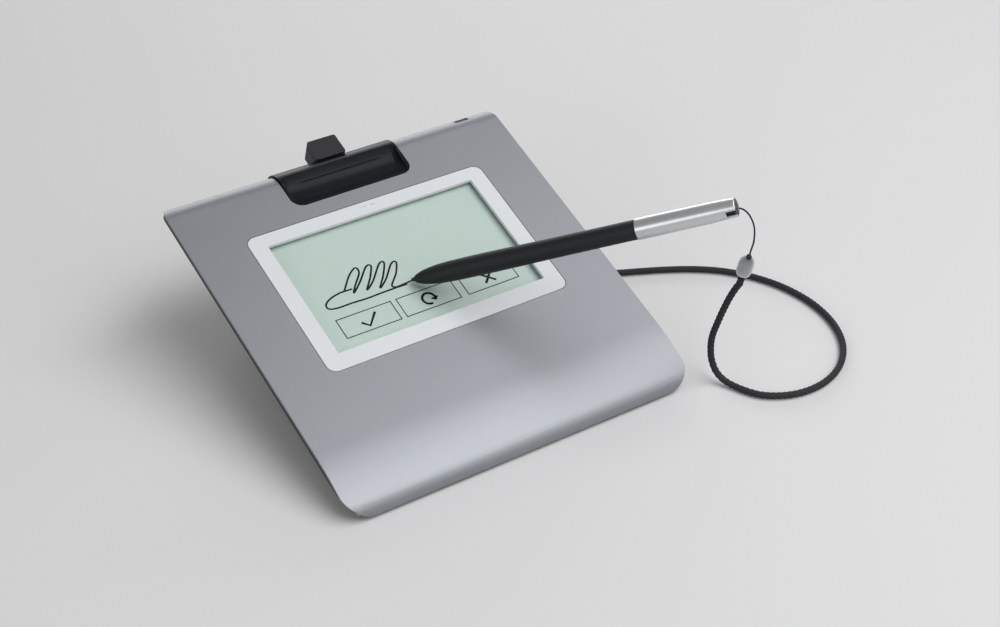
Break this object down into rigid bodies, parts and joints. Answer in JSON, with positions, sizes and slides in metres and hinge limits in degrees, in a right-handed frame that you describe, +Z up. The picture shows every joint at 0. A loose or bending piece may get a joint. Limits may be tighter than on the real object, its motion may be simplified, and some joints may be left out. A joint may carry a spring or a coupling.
{
  "type": "signature pad",
  "caption": "Slanted signature pad with a recessed display, a pen tray at its rear edge, and a battery-free pen held over it on a braided tether.",
  "frame": {"origin": "middle of the underside of the rubber sole under the rear stand, on the table", "axes": "+X to the pad's right as its user sees it, +Y away from the user, +Z up"},
  "size_m": [0.2429, 0.1976, 0.0904],
  "materials": {
    "silver_cover": "fine satin silver lacquer",
    "black_plastic": "fine matt moulding",
    "gloss_black": "gloss",
    "pale_frame": "satin",
    "clear_glass": "lightly etched",
    "display_green": "reflective liquid crystal, pale green",
    "board_green": "circuit board",
    "chip_black": "moulded",
    "steel": "plain",
    "white_plastic": "plain",
    "ribbon_tan": "polyimide film",
    "black_rubber": "matt",
    "black_braid": "fine braid",
    "clear_plastic": "clear, slightly clouded",
    "soft_black": "soft-touch coating",
    "cap_silver": "satin silver",
    "ferrite_grey": "sintered",
    "copper_winding": "enamelled winding"
  },
  "bodies": {
    "pad": {"top_cover": "silver_cover", "bottom_shell": "black_plastic", "lock_plate": "steel", "display_bezel": "pale_frame", "cover_glass": "clear_glass", "lcd_panel": "display_green", "sensor_board": "board_green", "shield_plate": "steel", "light_pipe": "clear_plastic", "status_light": "white_plastic", "light_board": "board_green", "main_board": "board_green", "board_screw_1": "steel", "board_screw_2": "steel", "controller_chip": "chip_black", "display_connector": "white_plastic", "display_ribbon": "ribbon_tan", "sensor_connector": "white_plastic", "sensor_ribbon": "ribbon_tan", "pen_tray": "gloss_black", "outlet_upper": "black_plastic", "outlet_lower": "black_plastic", "inlet_socket": "steel", "inlet_lead": "black_plastic", "casing_screw_1": "steel", "casing_screw_2": "steel", "casing_screw_3": "steel", "casing_screw_4": "steel", "front_foot_left": "black_rubber", "front_foot_right": "black_rubber", "rear_stand": "black_plastic", "stand_screw_1": "steel", "stand_screw_2": "steel", "stand_sole": "black_rubber", "tether_anchor": "black_plastic", "tether_cord": "black_braid"},
    "pen": {"pen_barrel": "soft_black", "pen_cap": "cap_silver", "pen_tail_plug": "black_plastic", "pen_coil": "copper_winding", "pen_board": "board_green", "pressure_sensor": "chip_black", "tether_bead": "clear_plastic", "tether_thread": "black_braid"},
    "nib": {"pen_nib": "chip_black", "pen_core": "ferrite_grey"}
  },
  "joints": [
    {"name": "pen_lift", "type": "slide", "parent": "pad", "child": "pen", "axis": [0, 0, 1], "range_m": [0, 0.04]},
    {"name": "nib_press", "type": "slide", "parent": "pen", "child": "nib", "axis": [0.6655, -0.6531, 0.3613], "range_m": [0, 0.0006], "stiffness_N_per_m": 400}
  ]
}
